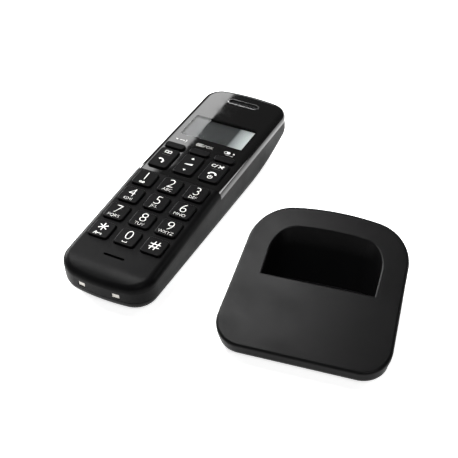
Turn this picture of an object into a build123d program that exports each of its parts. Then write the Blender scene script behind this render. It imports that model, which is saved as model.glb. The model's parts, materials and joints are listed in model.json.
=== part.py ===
from build123d import *

import os
from math import atan, cos, degrees, radians, sin, tan

# A cordless phone: the handset lies on its back beside its charging base.
# The row has +X to the right, +Y to the back and +Z up, with the floor at Z = 0.

os.makedirs("parts", exist_ok=True)

# ---------------------------------------------------------------- driving dimensions, millimetres
# Handset. Its own frame has x to the right, y towards the earpiece and z out of the keypad face.
LENGTH = 160
WIDTH = 48
END_BOW = 3
LOW_CORNER = 12
TOP_CORNER = 10.5
FACE_ROUND = 3.6
BACK_ROUND = 8.5
BEND_Y = -4.6
BEND_ANGLE = 3
BEND_RADIUS = 300
ROLL_START = -70
ROLL_RADIUS = 20
LOW_DEPTH = 17.6
HUMP_DEPTH = 27.2
HUMP_Y = 44
HUMP_RADIUS = 120
TOP_DEPTH = 20.5
WALL = 1.8
PARTING_DEPTH = 5
SEAM = 0.15

# Keys. The pitch is that of a large-key handset.
KEY_X = 14.2
KEY_Y_TOP = -11.55
KEY_PITCH = 13.4
KEY_WIDTH = 10.6
KEY_HEIGHT = 10.5
KEY_CORNER = 1.6
KEY_PROUD = 1.2
KEY_GAP = 0.35
KEY_TRAVEL = 0.6
ROCKER_Y = 6.95
ROCKER_HEIGHT = 15.9
SOFT_Y = 18.6
SOFT_WIDTH = 11
SOFT_HEIGHT = 4.2
FLANGE = 0.9
FLANGE_THICK = 0.7

# Lens, display and earpiece.
LENS_THICK = 1.1
LENS_LOW_Y = 21.5
LENS_INSET = 1.2
WINDOW_WIDTH = 35.5
WINDOW_HEIGHT = 19
WINDOW_Y = 40
EARPIECE_Y = 69
EARPIECE_WIDTH = 18.5
EARPIECE_HEIGHT = 4.8
EARPIECE_BAR_WIDTH = 15
EARPIECE_BAR_HEIGHT = 2.6
RIM_WALL = 0.7
RIM_PROUD = 0.25
RIM_DEPTH = 2.6
GRILLE_PLATE = 0.8
GRILLE_RECESS = 0.5
GRILLE_HOLES = 6
GRILLE_HOLE_PITCH = 2
GRILLE_HOLE_RADIUS = 0.45
EARPIECE_BAR_INSET = 0.2
MIC_Y = -64.6
MIC_WIDTH = 11
MIC_HEIGHT = 1.3

# Inside the handset. Depths below the face are negative.
LEDGE_WALL = 1.2
LCD_TOP = -WALL - 0.1
LCD_THICK = 1.6
LCD_BORDER = 1
BACKLIGHT_THICK = 1.8
BACKLIGHT_BORDER = 2
BOARD_GAP = 0.1
BOARD_CORNER = 3
BOARD_SIDE_GAP = 1.2
BOARD_LOW_Y = -70
BOARD_HIGH_Y = -5.4
RADIO_LOW_Y = -4
RADIO_HIGH_Y = 56
MAT_SIDE_GAP = 1.5
MAT_LOW_Y = -59.6
MAT_HIGH_Y = 22
MAT_GAP = 0.3
MAT_THICK = 0.7
ROCKER_DOME_REACH = 5
DOME_RADIUS = 2.6
DOME_HEIGHT = 0.45
DOME_CROWN = 0.55
BOARD_TOP = -5
BOARD_THICK = 1
MIC_RADIUS = 2
MIC_THICK = 1.6
SHEET_METAL = 0.4
SHIELD_Y = 34
SHIELD_WIDTH = 28
SHIELD_LENGTH = 24
SHIELD_HEIGHT = 3
SPEAKER_Y = 66
SPEAKER_RADIUS = 8.5
SPEAKER_FLOOR = -8
SPEAKER_THICK = 4.6
MAGNET_RADIUS = 5.5
MAGNET_THICK = 1.2
RINGER_Y = 48
RINGER_RADIUS = 9
RINGER_FLOOR = -22.5
RINGER_THICK = 4
RINGER_SLOTS = 5
RINGER_SLOT_PITCH = 2.4
RINGER_SLOT_LENGTH = 10

# Battery cover, cells and charging contacts.
GRIP_GROOVES = 5
GRIP_Y = 62
GRIP_PITCH = 2.2
GRIP_LENGTH = 16
GRIP_WIDTH = 0.9
GRIP_DEPTH = 1
CELL_GAP = 1.2
CELL_NUB = 1
CELL_NUB_RADIUS = 1.9
BAY_END_GAP = 1.9
TRAY_FOOT = 0.6
CELL_SIDE_GAP = 0.3
PLATE = 0.4
PLATE_SIZE = 8
PLATE_FOOT = 1.4
BATTERY_COVER_Y = -5
BATTERY_COVER_DEPTH = 7.2
CELL_RADIUS = 5.2
CELL_LENGTH = 43.5
CELL_Y = -30
CELL_CLEAR = 0.25
TRAY_WALL = 0.7
CONTACT_X = 9
CONTACT_WIDTH = 3.8
CONTACT_LOW_Z = -9.3
CONTACT_HIGH_Z = -6.5
CONTACT_SINK = 0.3
CONTACT_BACK = 1.5

# Screws. The handset's two stand in bosses behind the earpiece.
SCREW_HEAD = 2.1
SCREW_SHANK = 1.1
SCREW_HEAD_HEIGHT = 1.4
SCREW_HEAD_GAP = 0.3
SCREW_SLOT_LENGTH = 2.6
SCREW_SLOT_WIDTH = 0.6
SCREW_SLOT_DEPTH = 0.7
BOSS_RADIUS = 3.6
REAR_SCREW_PLACES = ((-15, 63), (15, 63))
REAR_HEAD_Z = -20
REAR_BOSS_TOP = -7.8
FRONT_BOSS_RADIUS = 2.8
FRONT_BOSS_HEIGHT = 2.8

# Base. Its own frame has x to the right, y to the back, z up, and the floor at z = 0.
BASE_FRONT_HALF = 38.2
BASE_BACK_HALF = 31.6
BASE_FRONT_Y = -35.3
BASE_BACK_Y = 31.8
BASE_DRAFT = 8
BASE_FRONT_CORNER = 11
BASE_BACK_CORNER = 17
BASE_BACK_BOW = 5
BASE_LOFT_TOP = 42
FOOT_HEIGHT = 1.5
FRONT_TOP_Z = 9.5
SLOPE_ANGLE = 18.6
COVER_THICK = 3
COVER_EDGE_ROUND = 1.3
COVER_OVERHANG = 0.5
COVER_GAP = 0.35
BASE_WALL = 1.9
BASE_BOTTOM_ROUND = 4.5
PLATE_THICK = 1.9
COVER_HOLLOW_INSET = 2.6
TONGUE_INSET = 1.6
TONGUE_HEIGHT = 1

# Cradle pocket. It leans back from the vertical, and the handset stands in it.
POCKET_SLOPE_Y = 38
POCKET_LEAN = 21
POCKET_FRONT_DEPTH = 8.5
POCKET_HALF = 25.4
POCKET_DEPTH = 21.2
POCKET_BOW = 2
POCKET_CORNER = 11
POCKET_WALL = 1.6
POCKET_LIP_ROUND = 0.7
PIN_WIDTH = 3.2
PIN_THICK = 1.6
PIN_GAP = 0.4
PIN_REACH = 1.2
PIN_TRAVEL = 0.9
PIN_DEPTH = 8.5
PIN_ROOT = -4
PIN_FLANGE = 1.2
PIN_TIP_ROUND = 0.6
SPRING_LENGTH = 10
SPRING_MIDDLE = 3

# Inside and back of the base.
BASE_SCREW_PLACES = ((-16, -27), (16, -27), (-19, 22), (19, 22))
BASE_SCREW_HEAD_Z = 3
BASE_SCREW_LENGTH = 5
BASE_SCREW_RADIUS = 1.3
BASE_SCREW_BORE = 2.6
BASE_BOSS_RADIUS = 3.2
BASE_BOSS_TOP = 6
BASE_BOARD_Y = -20
BASE_BOARD_WIDTH = 58
BASE_BOARD_DEPTH = 21
BASE_BOARD_THICK = 1.2
BASE_SHIELD_Y = -17
BASE_SHIELD_WIDTH = 22
BASE_SHIELD_DEPTH = 12
BASE_SHIELD_HEIGHT = 2.8
SOCKET_X = -7.5
SOCKET_WIDTH = 13
SOCKET_LOW_Z = 3.6
SOCKET_HIGH_Z = 13.6
SOCKET_FRONT_Y = 20.8
SOCKET_BACK_Y = 31.6
SOCKET_CUT_Y = 24.8
JACK_WALL = 1.4
INLET_X = 7.5
INLET_WIDTH = 9
INLET_LOW_Z = 3.6
INLET_HIGH_Z = 12.6
INLET_BORE = 2.9
INLET_PIN = 0.8
INLET_DEPTH = 9
PAGE_Z = 20
PAGE_RADIUS = 3.5
PAGE_GAP = 0.35
PAGE_FRONT_Y = 29.4
PAGE_BACK_Y = 34.6
PAGE_ROUND = 0.5
SWITCH_FRONT_Y = 25
SWITCH_SIZE = 6
SWITCH_DEPTH = 2.6
FOOT_PLACES = ((-26, -26), (26, -26), (-17, 13), (17, 13))
FOOT_LENGTH = 10
FOOT_WIDTH = 6
FOOT_CORNER = 2.5

# Places of the two halves of the set, seen from above.
HANDSET_FROM_BASE_X = -83
HANDSET_FROM_BASE_Y = 55
HANDSET_TURN = -9

# ---------------------------------------------------------------- frames worked out from them
BACK_ANGLE = degrees(atan((HUMP_DEPTH - LOW_DEPTH) / (HUMP_Y + LENGTH / 2)))
REST_HEIGHT = LOW_DEPTH * cos(radians(BACK_ANGLE)) + LENGTH / 2 * sin(radians(BACK_ANGLE))

UPPER_FACE = Plane(
    origin=(0, BEND_Y, 0),
    x_dir=(1, 0, 0),
    z_dir=(0, sin(radians(BEND_ANGLE)), cos(radians(BEND_ANGLE))),
)
BACK_PLANE = Plane(
    origin=(0, -LENGTH / 2, -LOW_DEPTH),
    x_dir=(1, 0, 0),
    z_dir=(0, sin(radians(BACK_ANGLE)), cos(radians(BACK_ANGLE))),
)
SLOPE_PLANE = Plane(
    origin=(0, BASE_FRONT_Y - FRONT_TOP_Z * tan(radians(BASE_DRAFT)), FRONT_TOP_Z),
    x_dir=(1, 0, 0),
    z_dir=(0, -sin(radians(SLOPE_ANGLE)), cos(radians(SLOPE_ANGLE))),
)
POCKET_PLANE = Plane(
    origin=SLOPE_PLANE.from_local_coords(Vector(0, POCKET_SLOPE_Y, 0)),
    x_dir=(1, 0, 0),
    z_dir=(0, sin(radians(POCKET_LEAN)), cos(radians(POCKET_LEAN))),
)
POCKET_FLOOR = POCKET_PLANE.offset(-POCKET_FRONT_DEPTH)
BATTERY_PLANE = BACK_PLANE.offset(BATTERY_COVER_DEPTH)


def on_upper_face(y):
    """Distance of handset station y along the upper face plane."""
    return (y - BEND_Y) / cos(radians(BEND_ANGLE))


# ---------------------------------------------------------------- handset envelope


def handset_plan(inset=0):
    """Plan outline: straight sides, gently bowed ends and rounded corners."""
    side = WIDTH / 2 - inset
    end = LENGTH / 2 - inset
    shoulder = end - END_BOW
    with BuildSketch() as plan:
        with BuildLine():
            Line((-side, -shoulder), (-side, shoulder))
            ThreePointArc((-side, shoulder), (0, end), (side, shoulder))
            Line((side, shoulder), (side, -shoulder))
            ThreePointArc((side, -shoulder), (0, -end), (-side, -shoulder))
        make_face()
        corners = plan.vertices()
        fillet(corners.filter_by(lambda corner: corner.Y < 0), LOW_CORNER - inset)
        fillet(plan.vertices().group_by(Axis.Y)[-1], TOP_CORNER - inset)
    return plan.sketch


def handset_envelope(inset=0):
    """Outer form of the handset, or the same form drawn in by an inset."""
    beyond = LENGTH / 2 + 8
    upper_drop = (beyond - BEND_Y) * tan(radians(BEND_ANGLE))
    back_start = LOW_DEPTH - (beyond - LENGTH / 2) * tan(radians(BACK_ANGLE))
    top_slope = (HUMP_DEPTH - TOP_DEPTH) / (LENGTH / 2 - HUMP_Y)
    back_end = TOP_DEPTH - (beyond - LENGTH / 2) * top_slope
    with BuildPart() as body:
        with BuildSketch(Plane.XY.offset(-HUMP_DEPTH - 5)):
            add(handset_plan(inset))
        extrude(amount=HUMP_DEPTH + 10)
        with BuildSketch(Plane.YZ) as side_view:
            with BuildLine():
                roll = CenterArc((ROLL_START, -inset - ROLL_RADIUS), ROLL_RADIUS, 90, 50)
                Polyline(
                    roll @ 0,
                    (BEND_Y, -inset),
                    (beyond, -inset - upper_drop),
                    (beyond, -back_end + inset),
                    (HUMP_Y, -HUMP_DEPTH + inset),
                    (-beyond, -back_start + inset),
                    (-beyond, (roll @ 1).Y),
                    roll @ 1,
                )
            make_face()
            bend = side_view.vertices().sort_by_distance((BEND_Y, -inset))[0]
            fillet(bend, BEND_RADIUS)
            hump = side_view.vertices().sort_by_distance((HUMP_Y, -HUMP_DEPTH + inset))[0]
            fillet(hump, HUMP_RADIUS)
        extrude(amount=WIDTH, both=True, mode=Mode.INTERSECT)
        for facing, radius in ((1, FACE_ROUND), (-1, BACK_ROUND)):
            skins = body.faces().filter_by(lambda skin: skin.normal_at().Z * facing > 0.75)
            rim = ShapeList(edge for skin in skins for edge in skin.edges())
            fillet(rim.filter_by(Axis.X, reverse=True), radius - inset)
    return body.part


outer_form = handset_envelope()
inner_form = handset_envelope(WALL)


def front_side(depth):
    """Everything in front of the face profile moved down by a depth."""
    reach = LENGTH
    drop = (reach - BEND_Y) * tan(radians(BEND_ANGLE))
    with BuildPart() as region:
        with BuildSketch(Plane.YZ):
            with BuildLine():
                Polyline(
                    (-reach, -depth),
                    (BEND_Y, -depth),
                    (reach, -depth - drop),
                    (reach, reach),
                    (-reach, reach),
                    close=True,
                )
            make_face()
        extrude(amount=WIDTH, both=True)
    return region.part


front_region = front_side(PARTING_DEPTH)

# ---------------------------------------------------------------- placing and writing pieces
handset_beside_base = (
    Pos(HANDSET_FROM_BASE_X, HANDSET_FROM_BASE_Y, REST_HEIGHT)
    * Rot(0, 0, HANDSET_TURN)
    * Rot(BACK_ANGLE, 0, 0)
)


def base_plan(height, inset):
    """Outline of the base at a height, narrower towards the back and drawn in by an inset."""
    spread = height * tan(radians(BASE_DRAFT)) - inset
    front_half = BASE_FRONT_HALF + spread
    back_half = BASE_BACK_HALF + spread
    front_y = BASE_FRONT_Y - spread
    back_y = BASE_BACK_Y + spread
    shoulder_y = back_y - BASE_BACK_BOW
    with BuildSketch() as plan:
        with BuildLine():
            Polyline(
                (-back_half, shoulder_y),
                (-front_half, front_y),
                (front_half, front_y),
                (back_half, shoulder_y),
            )
            ThreePointArc((back_half, shoulder_y), (0, back_y), (-back_half, shoulder_y))
        make_face()
        front_corners = plan.vertices().group_by(Axis.Y)[0]
        fillet(front_corners, BASE_FRONT_CORNER + spread)
        back_corners = plan.vertices().group_by(Axis.Y)[-1]
        fillet(back_corners, BASE_BACK_CORNER + spread)
    return plan.sketch


def base_envelope(floor, inset):
    """Flared form of the base from a floor height upwards, cut off by the sloping top."""
    with BuildPart() as body:
        for height in (floor, BASE_LOFT_TOP):
            with BuildSketch(Plane.XY.offset(height)):
                add(base_plan(height, inset))
        loft(ruled=True)
        split(bisect_by=SLOPE_PLANE, keep=Keep.BOTTOM)
    return body.part


base_form = base_envelope(FOOT_HEIGHT, 0)

# The row's origin is the middle of the footprint of the whole set, on the floor.
footprint = Compound(children=[handset_beside_base * outer_form, base_form]).bounding_box()
BASE_PLACE = Pos(-footprint.center().X, -footprint.center().Y, 0)
HANDSET_PLACE = BASE_PLACE * handset_beside_base


def write_piece(piece, name, place):
    """Stand a finished piece in its place, label it and write its file."""
    piece.part.locate(place)
    piece.part.label = name
    export_step(piece.part, f"parts/{name}.step")


def write_handset(piece, name):
    write_piece(piece, name, HANDSET_PLACE)


def write_base(piece, name):
    write_piece(piece, name, BASE_PLACE)


# ---------------------------------------------------------------- handset: lens, window and earpiece
LENS_PLANE = UPPER_FACE.offset(-LENS_THICK)
window_place = (0, on_upper_face(WINDOW_Y))
earpiece_place = (0, on_upper_face(EARPIECE_Y))


def lens_blank(inset, low_y, thick):
    """Slice of the outer form above the lens ledge, from its lower edge to the top end."""
    with BuildPart() as blank:
        add(outer_form)
        with BuildSketch(Plane.XY.offset(-HUMP_DEPTH)):
            add(handset_plan(inset))
            with Locations((0, low_y - LENGTH / 2)):
                Rectangle(WIDTH * 2, LENGTH, mode=Mode.SUBTRACT)
        extrude(amount=HUMP_DEPTH * 2, mode=Mode.INTERSECT)
        split(bisect_by=UPPER_FACE.offset(-thick), keep=Keep.TOP)
    return blank.part


with BuildPart() as display_window:
    add(lens_blank(LENS_INSET, LENS_LOW_Y, LENS_THICK))
    with BuildSketch(LENS_PLANE):
        with Locations(window_place):
            RectangleRounded(WINDOW_WIDTH, WINDOW_HEIGHT, 0.8)
    extrude(amount=LENS_THICK * 2, mode=Mode.INTERSECT)

with BuildPart() as lens_panel:
    add(lens_blank(LENS_INSET, LENS_LOW_Y, LENS_THICK))
    add(display_window.part, mode=Mode.SUBTRACT)
    with BuildSketch(LENS_PLANE):
        with Locations(earpiece_place):
            SlotOverall(EARPIECE_WIDTH, EARPIECE_HEIGHT)
    extrude(amount=LENS_THICK * 2, mode=Mode.SUBTRACT)

with BuildPart() as earpiece_rim:
    with BuildSketch(UPPER_FACE.offset(-RIM_DEPTH)):
        with Locations(earpiece_place):
            SlotOverall(EARPIECE_WIDTH, EARPIECE_HEIGHT)
            SlotOverall(EARPIECE_WIDTH - 2 * RIM_WALL, EARPIECE_HEIGHT - 2 * RIM_WALL, mode=Mode.SUBTRACT)
    extrude(amount=RIM_DEPTH + RIM_PROUD)
    rim_top = earpiece_rim.faces().sort_by(Axis(UPPER_FACE.origin, UPPER_FACE.z_dir))[-1]
    fillet(rim_top.outer_wire().edges(), 0.3)

with BuildPart() as earpiece_grille:
    with BuildSketch(UPPER_FACE.offset(-RIM_DEPTH)):
        with Locations(earpiece_place):
            SlotOverall(EARPIECE_WIDTH - 2 * RIM_WALL, EARPIECE_HEIGHT - 2 * RIM_WALL)
    extrude(amount=GRILLE_PLATE)
    with BuildSketch(UPPER_FACE.offset(-RIM_DEPTH)):
        with Locations(earpiece_place):
            SlotOverall(EARPIECE_BAR_WIDTH, EARPIECE_BAR_HEIGHT - 2 * EARPIECE_BAR_INSET)
    extrude(amount=RIM_DEPTH - GRILLE_RECESS)
    with BuildSketch(UPPER_FACE.offset(-RIM_DEPTH)):
        with Locations(earpiece_place):
            with GridLocations(GRILLE_HOLE_PITCH, 1, GRILLE_HOLES, 1):
                Circle(GRILLE_HOLE_RADIUS)
    extrude(amount=RIM_DEPTH, mode=Mode.SUBTRACT)

with BuildPart() as earpiece_speaker:
    with BuildSketch(UPPER_FACE.offset(SPEAKER_FLOOR)):
        with Locations((0, on_upper_face(SPEAKER_Y))):
            Circle(SPEAKER_RADIUS)
    extrude(amount=SPEAKER_THICK)
    with BuildSketch(UPPER_FACE.offset(SPEAKER_FLOOR - MAGNET_THICK)):
        with Locations((0, on_upper_face(SPEAKER_Y))):
            Circle(MAGNET_RADIUS)
    extrude(amount=MAGNET_THICK)

# ---------------------------------------------------------------- handset: keys
KEY_COLUMNS = (-KEY_X, 0, KEY_X)
KEY_ROWS = (("1", "2", "3"), ("4", "5", "6"), ("7", "8", "9"), ("star", "0", "hash"))
key_places = {}
for row, names in enumerate(KEY_ROWS):
    for column, name in enumerate(names):
        key_places[name] = (KEY_COLUMNS[column], KEY_Y_TOP - row * KEY_PITCH)
rocker_places = {
    "talk_key": (-KEY_X, ROCKER_Y),
    "navigator_key": (0, ROCKER_Y),
    "off_key": (KEY_X, ROCKER_Y),
}
soft_places = {
    "soft_key_left": (-KEY_X, SOFT_Y),
    "soft_key_middle": (0, SOFT_Y),
    "soft_key_right": (KEY_X, SOFT_Y),
}
KEY_FLOOR = -WALL - KEY_GAP - FLANGE_THICK


def key_cap(plane, x, y, width, height, flange_width, flange_height):
    """A key: a rounded cap that stands proud of the face, on a wider flange under the cover."""
    with BuildPart() as key:
        with BuildSketch(plane.offset(KEY_FLOOR)):
            with Locations((x, y)):
                RectangleRounded(width, height, KEY_CORNER)
        extrude(amount=KEY_PROUD - KEY_FLOOR)
        outward = Axis(plane.origin, plane.z_dir)
        fillet(key.edges().group_by(outward)[-1], 0.45)
        with BuildSketch(plane.offset(KEY_FLOOR)):
            with Locations((x, y)):
                Rectangle(flange_width, flange_height)
        extrude(amount=FLANGE_THICK)
    return key


for name, (x, y) in key_places.items():
    number_key = key_cap(
        Plane.XY, x, y, KEY_WIDTH, KEY_HEIGHT, KEY_WIDTH + 2 * FLANGE, KEY_HEIGHT + 2 * FLANGE
    )
    write_handset(number_key, f"key_{name}")
for name, (x, y) in rocker_places.items():
    rocker = key_cap(
        UPPER_FACE, x, on_upper_face(y), KEY_WIDTH, ROCKER_HEIGHT, KEY_WIDTH + 2 * FLANGE, ROCKER_HEIGHT / 2
    )
    write_handset(rocker, name)
for name, (x, y) in soft_places.items():
    soft_key = key_cap(
        UPPER_FACE, x, on_upper_face(y), SOFT_WIDTH, SOFT_HEIGHT, SOFT_WIDTH + 2 * FLANGE, SOFT_HEIGHT - 0.6
    )
    write_handset(soft_key, name)

# ---------------------------------------------------------------- handset: front covers
with BuildPart() as front_cover_lower:
    add(outer_form)
    add(inner_form, mode=Mode.SUBTRACT)
    add(front_region, mode=Mode.INTERSECT)
    split(bisect_by=Plane.XZ.offset(-BEND_Y), keep=Keep.TOP)
    with BuildSketch(Plane.XY.offset(-PARTING_DEPTH)):
        with Locations(*key_places.values()):
            RectangleRounded(KEY_WIDTH + 2 * KEY_GAP, KEY_HEIGHT + 2 * KEY_GAP, KEY_CORNER + KEY_GAP)
        with Locations((0, MIC_Y)):
            SlotOverall(MIC_WIDTH, MIC_HEIGHT)
    extrude(amount=PARTING_DEPTH * 2, mode=Mode.SUBTRACT)

with BuildPart() as front_cover_upper:
    add(outer_form)
    add(inner_form, mode=Mode.SUBTRACT)
    add(front_region, mode=Mode.INTERSECT)
    split(bisect_by=Plane.XZ.offset(-BEND_Y - SEAM), keep=Keep.BOTTOM)
    add(lens_blank(LENS_INSET - SEAM, LENS_LOW_Y - SEAM, LENS_THICK), mode=Mode.SUBTRACT)
    with BuildSketch(UPPER_FACE.offset(-PARTING_DEPTH)):
        with Locations(*[(x, on_upper_face(y)) for x, y in rocker_places.values()]):
            RectangleRounded(KEY_WIDTH + 2 * KEY_GAP, ROCKER_HEIGHT + 2 * KEY_GAP, KEY_CORNER + KEY_GAP)
        with Locations(*[(x, on_upper_face(y)) for x, y in soft_places.values()]):
            RectangleRounded(SOFT_WIDTH + 2 * KEY_GAP, SOFT_HEIGHT + 2 * KEY_GAP, KEY_CORNER + KEY_GAP)
        with Locations(window_place):
            Rectangle(WINDOW_WIDTH - LEDGE_WALL, WINDOW_HEIGHT - LEDGE_WALL)
        with Locations(earpiece_place):
            SlotOverall(EARPIECE_WIDTH, EARPIECE_HEIGHT)
    extrude(amount=PARTING_DEPTH * 2, mode=Mode.SUBTRACT)
    with BuildSketch(Plane.XY.offset(REAR_BOSS_TOP)):
        with Locations(*REAR_SCREW_PLACES):
            Circle(FRONT_BOSS_RADIUS)
            Circle(SCREW_SHANK, mode=Mode.SUBTRACT)
    extrude(amount=FRONT_BOSS_HEIGHT)

# ---------------------------------------------------------------- handset: display and boards
with BuildPart() as lcd_glass:
    with BuildSketch(UPPER_FACE.offset(LCD_TOP - LCD_THICK)):
        with Locations(window_place):
            Rectangle(WINDOW_WIDTH + 2 * LCD_BORDER, WINDOW_HEIGHT + 4 * LCD_BORDER)
    extrude(amount=LCD_THICK)

with BuildPart() as backlight:
    with BuildSketch(UPPER_FACE.offset(LCD_TOP - LCD_THICK - BACKLIGHT_THICK)):
        with Locations(window_place):
            Rectangle(WINDOW_WIDTH + 2 * BACKLIGHT_BORDER, WINDOW_HEIGHT + 3 * BACKLIGHT_BORDER)
    extrude(amount=BACKLIGHT_THICK)

board_width = WIDTH - 2 * WALL - 2 * BOARD_SIDE_GAP
mat_width = WIDTH - 2 * WALL - 2 * MAT_SIDE_GAP
mat_top = KEY_FLOOR - KEY_TRAVEL - MAT_GAP
with BuildPart() as keypad_mat:
    with BuildSketch(Plane.XY.offset(mat_top - MAT_THICK)):
        with Locations((0, (MAT_LOW_Y + BEND_Y) / 2)):
            Rectangle(mat_width, BEND_Y - MAT_LOW_Y)
    extrude(amount=MAT_THICK)
    with BuildSketch(UPPER_FACE.offset(mat_top - MAT_THICK)):
        with Locations((0, on_upper_face((MAT_HIGH_Y + BEND_Y - SEAM) / 2))):
            Rectangle(mat_width, MAT_HIGH_Y - BEND_Y + SEAM)
    extrude(amount=MAT_THICK)

with BuildPart() as keypad_board:
    with BuildSketch(Plane.XY.offset(BOARD_TOP - BOARD_THICK)):
        with Locations((0, (BOARD_LOW_Y + BOARD_HIGH_Y) / 2)):
            RectangleRounded(board_width, BOARD_HIGH_Y - BOARD_LOW_Y, BOARD_CORNER)
    extrude(amount=BOARD_THICK)

radio_top = LCD_TOP - LCD_THICK - BACKLIGHT_THICK - BOARD_GAP
with BuildPart() as radio_board:
    with BuildSketch(UPPER_FACE.offset(radio_top - BOARD_THICK)):
        with Locations((0, on_upper_face((RADIO_LOW_Y + RADIO_HIGH_Y) / 2))):
            RectangleRounded(board_width, RADIO_HIGH_Y - RADIO_LOW_Y, BOARD_CORNER)
    extrude(amount=BOARD_THICK)

function_dome_places = []
for x in KEY_COLUMNS:
    for y in (ROCKER_Y - ROCKER_DOME_REACH, ROCKER_Y + ROCKER_DOME_REACH, SOFT_Y):
        function_dome_places.append((x, on_upper_face(y)))


def add_domes(plane, places):
    """Snap domes standing on a board."""
    with BuildPart() as domes:
        for place in places:
            with BuildSketch(plane):
                with Locations(place):
                    Circle(DOME_RADIUS)
            with BuildSketch(plane.offset(DOME_HEIGHT)):
                with Locations(place):
                    Circle(DOME_RADIUS * DOME_CROWN)
            loft()
    return domes.part


with BuildPart() as dome_switches:
    add(add_domes(Plane.XY.offset(BOARD_TOP), key_places.values()))
    add(add_domes(UPPER_FACE.offset(radio_top), function_dome_places))

with BuildPart() as microphone:
    with BuildSketch(Plane.XY.offset(BOARD_TOP)):
        with Locations((0, MIC_Y)):
            Circle(MIC_RADIUS)
    extrude(amount=MIC_THICK)

with BuildPart() as radio_shield:
    with BuildSketch(UPPER_FACE.offset(radio_top - BOARD_THICK - SHIELD_HEIGHT)):
        with Locations((0, on_upper_face(SHIELD_Y))):
            RectangleRounded(SHIELD_WIDTH, SHIELD_LENGTH, 1)
    extrude(amount=SHIELD_HEIGHT)
    shield_face = radio_shield.faces().sort_by(Axis(UPPER_FACE.origin, UPPER_FACE.z_dir))[-1]
    offset(amount=-SHEET_METAL, openings=shield_face)

with BuildPart() as ringer_speaker:
    with BuildSketch(Plane.XY.offset(RINGER_FLOOR)):
        with Locations((0, RINGER_Y)):
            Circle(RINGER_RADIUS)
    extrude(amount=RINGER_THICK)

# ---------------------------------------------------------------- handset: back
with BuildPart() as rear_shell:
    add(outer_form)
    add(inner_form, mode=Mode.SUBTRACT)
    add(front_region, mode=Mode.SUBTRACT)

with BuildPart() as battery_space:
    Box(LENGTH, LENGTH * 2, LENGTH * 2)
    split(bisect_by=Plane.XZ.offset(-BATTERY_COVER_Y), keep=Keep.TOP)
    split(bisect_by=BATTERY_PLANE, keep=Keep.BOTTOM)

with BuildPart() as battery_cover:
    add(rear_shell.part)
    split(bisect_by=Plane.XZ.offset(-BATTERY_COVER_Y + 2 * SEAM), keep=Keep.TOP)
    split(bisect_by=BATTERY_PLANE.offset(-2 * SEAM), keep=Keep.BOTTOM)
    with BuildSketch(BACK_PLANE.offset(-GRIP_DEPTH)):
        with Locations((0, GRIP_Y)):
            with GridLocations(1, GRIP_PITCH, 1, GRIP_GROOVES):
                SlotOverall(GRIP_LENGTH, GRIP_WIDTH)
    extrude(amount=1.5 * GRIP_DEPTH, mode=Mode.SUBTRACT)

with BuildPart() as contact_windows:
    with BuildSketch(Plane.XY.offset(CONTACT_LOW_Z)):
        with Locations((0, -LENGTH / 2)):
            with GridLocations(2 * CONTACT_X, 1, 2, 1):
                Rectangle(CONTACT_WIDTH, 8)
    extrude(amount=CONTACT_HIGH_Z - CONTACT_LOW_Z)

with BuildPart() as handset_charge_contacts:
    add(handset_envelope(CONTACT_SINK))
    add(handset_envelope(CONTACT_BACK), mode=Mode.SUBTRACT)
    add(contact_windows.part, mode=Mode.INTERSECT)

with BuildPart() as rear_cover:
    add(rear_shell.part)
    add(battery_space.part, mode=Mode.SUBTRACT)
    add(contact_windows.part, mode=Mode.SUBTRACT)
    with BuildSketch(Plane.XY.offset(RINGER_FLOOR)):
        with Locations(*REAR_SCREW_PLACES):
            Circle(BOSS_RADIUS)
    extrude(amount=REAR_BOSS_TOP - RINGER_FLOOR)
    with BuildSketch(Plane.XY.offset(REAR_HEAD_Z)):
        with Locations(*REAR_SCREW_PLACES):
            Circle(SCREW_HEAD + SCREW_HEAD_GAP)
    extrude(amount=-HUMP_DEPTH - REAR_HEAD_Z, mode=Mode.SUBTRACT)
    with BuildSketch(Plane.XY.offset(REAR_HEAD_Z)):
        with Locations(*REAR_SCREW_PLACES):
            Circle(SCREW_SHANK)
    extrude(amount=-REAR_HEAD_Z, mode=Mode.SUBTRACT)
    with BuildSketch(Plane.XY.offset(-HUMP_DEPTH)):
        with Locations((0, RINGER_Y)):
            with GridLocations(1, RINGER_SLOT_PITCH, 1, RINGER_SLOTS):
                SlotOverall(RINGER_SLOT_LENGTH, 1)
    extrude(amount=HUMP_DEPTH + RINGER_FLOOR, mode=Mode.SUBTRACT)


def screw_group(places, seat, shank_radius, length):
    """Cross-slotted screws whose heads hang below a seat height and whose shanks rise from it."""
    with BuildPart() as screws:
        with BuildSketch(Plane.XY.offset(seat - SCREW_HEAD_HEIGHT)):
            with Locations(*places):
                Circle(SCREW_HEAD)
        extrude(amount=SCREW_HEAD_HEIGHT)
        with BuildSketch(Plane.XY.offset(seat)):
            with Locations(*places):
                Circle(shank_radius)
        extrude(amount=length)
        with BuildSketch(Plane.XY.offset(seat - SCREW_HEAD_HEIGHT)):
            with Locations(*places):
                Rectangle(SCREW_SLOT_LENGTH, SCREW_SLOT_WIDTH)
                Rectangle(SCREW_SLOT_WIDTH, SCREW_SLOT_LENGTH)
        extrude(amount=SCREW_SLOT_DEPTH, mode=Mode.SUBTRACT)
    return screws


shank_length = REAR_BOSS_TOP - REAR_HEAD_Z + SCREW_HEAD_GAP
handset_screws = screw_group(REAR_SCREW_PLACES, REAR_HEAD_Z, SCREW_SHANK, shank_length)

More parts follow.
